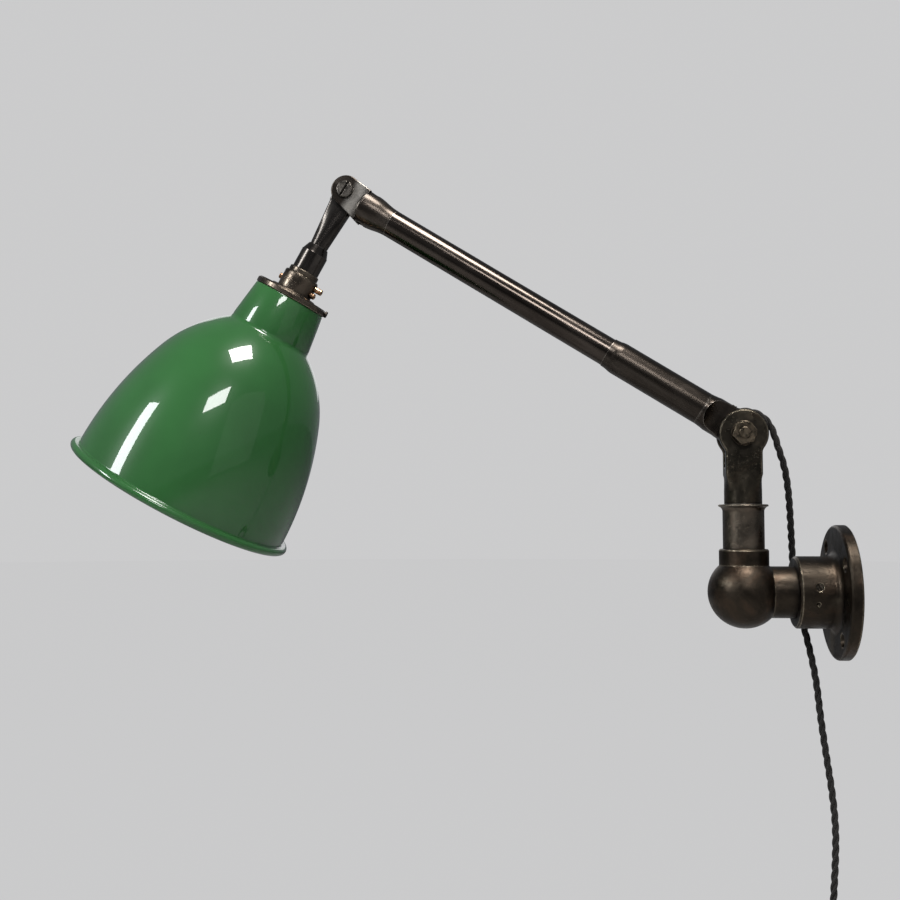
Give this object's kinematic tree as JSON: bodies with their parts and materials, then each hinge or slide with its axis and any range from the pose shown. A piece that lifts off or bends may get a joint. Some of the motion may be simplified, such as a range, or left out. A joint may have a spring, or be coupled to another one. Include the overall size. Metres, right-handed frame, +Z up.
{
  "type": "articulated wall lamp",
  "caption": "Swing-arm wall lamp: cast wall bracket, forked post, tubular arm between two friction knuckles, green enamel bell shade, bulb, and a hanging twisted flex with plug.",
  "frame": {"origin": "centre of the wall flange's back face, which lies on the wall", "axes": "+Z up, -X out from the wall towards the lamp, +X into the wall, -Y towards the picture's viewer"},
  "size_m": [0.5702, 0.1813, 0.6867],
  "materials": {
    "bracket_bronze": "dark bronze patina, worn bright at the edges",
    "arm_steel": "dark polished steel with a warm tone",
    "aged_brass": "aged brass, dull with bright edges",
    "screw_steel": "plain steel",
    "holder_bronze": "brown bronzed brass",
    "green_enamel": "glossy vitreous enamel, green outside and white inside",
    "bulb_cap_metal": "satin",
    "frosted_glass": "frosted inside",
    "dark_insulator": "moulded, dark and glossy",
    "friction_fibre": "pressed fibre",
    "bush_rubber": "matte",
    "braided_flex": "black braided cotton, three cores twisted",
    "tie_leather": "plain strap"
  },
  "bodies": {
    "bracket": {"wall_flange": "bracket_bronze", "hub_grub_screw": "screw_steel", "ball_elbow": "bracket_bronze", "post_sleeve": "bracket_bronze", "thrust_washer": "screw_steel", "flex_drop": "braided_flex", "flex_lower": "braided_flex", "flex_coil": "braided_flex", "flex_tail": "braided_flex", "coil_tie": "tie_leather", "plug_cover": "dark_insulator", "plug_base": "dark_insulator", "plug_pins": "aged_brass"},
    "post": {"post_fork": "bracket_bronze", "post_washer": "screw_steel", "post_nut": "screw_steel", "knuckle_bolt": "aged_brass", "knuckle_washers": "aged_brass", "knuckle_nut": "aged_brass", "flex_knuckle": "braided_flex"},
    "arm": {"knuckle_eye": "arm_steel", "friction_washers": "friction_fibre", "lead_out_bush": "bush_rubber", "lower_tube": "arm_steel", "upper_tube": "arm_steel", "top_clevis": "arm_steel", "head_pivot_screw": "screw_steel", "head_pivot_nut": "screw_steel", "head_washers": "friction_fibre", "arm_flex": "braided_flex"},
    "head": {"head_stem": "arm_steel", "holder_cap": "holder_bronze", "holder_ring": "aged_brass", "holder_cup": "holder_bronze", "clamp_screws": "aged_brass", "gallery_disc": "holder_bronze", "gallery_screw": "aged_brass", "lampholder_barrel": "aged_brass", "lampholder_insulator": "dark_insulator", "contact_plungers": "aged_brass", "plunger_springs": "screw_steel", "terminal_screws": "aged_brass", "shade_ring": "dark_insulator", "shade": "green_enamel", "bulb_cap": "bulb_cap_metal", "bulb_glass": "frosted_glass", "head_flex": "braided_flex"}
  },
  "joints": [
    {"name": "post_swivel", "type": "hinge", "parent": "bracket", "child": "post", "pos_m": [-0.071, 0, 0.113], "axis": [0, 0, 1], "range_deg": [-76.3, 83.7], "deforming": ["flex_drop"]},
    {"name": "arm_tilt", "type": "hinge", "parent": "post", "child": "arm", "pos_m": [-0.071, 0, 0.113], "axis": [0.0645, 0.9979, 0], "range_deg": [-52.8, 47.2], "deforming": ["flex_knuckle"]},
    {"name": "head_tilt", "type": "hinge", "parent": "arm", "child": "head", "pos_m": [-0.36123, 0.01877, 0.30043], "axis": [0.0645, 0.9979, 0], "range_deg": [-30, 115]}
  ]
}
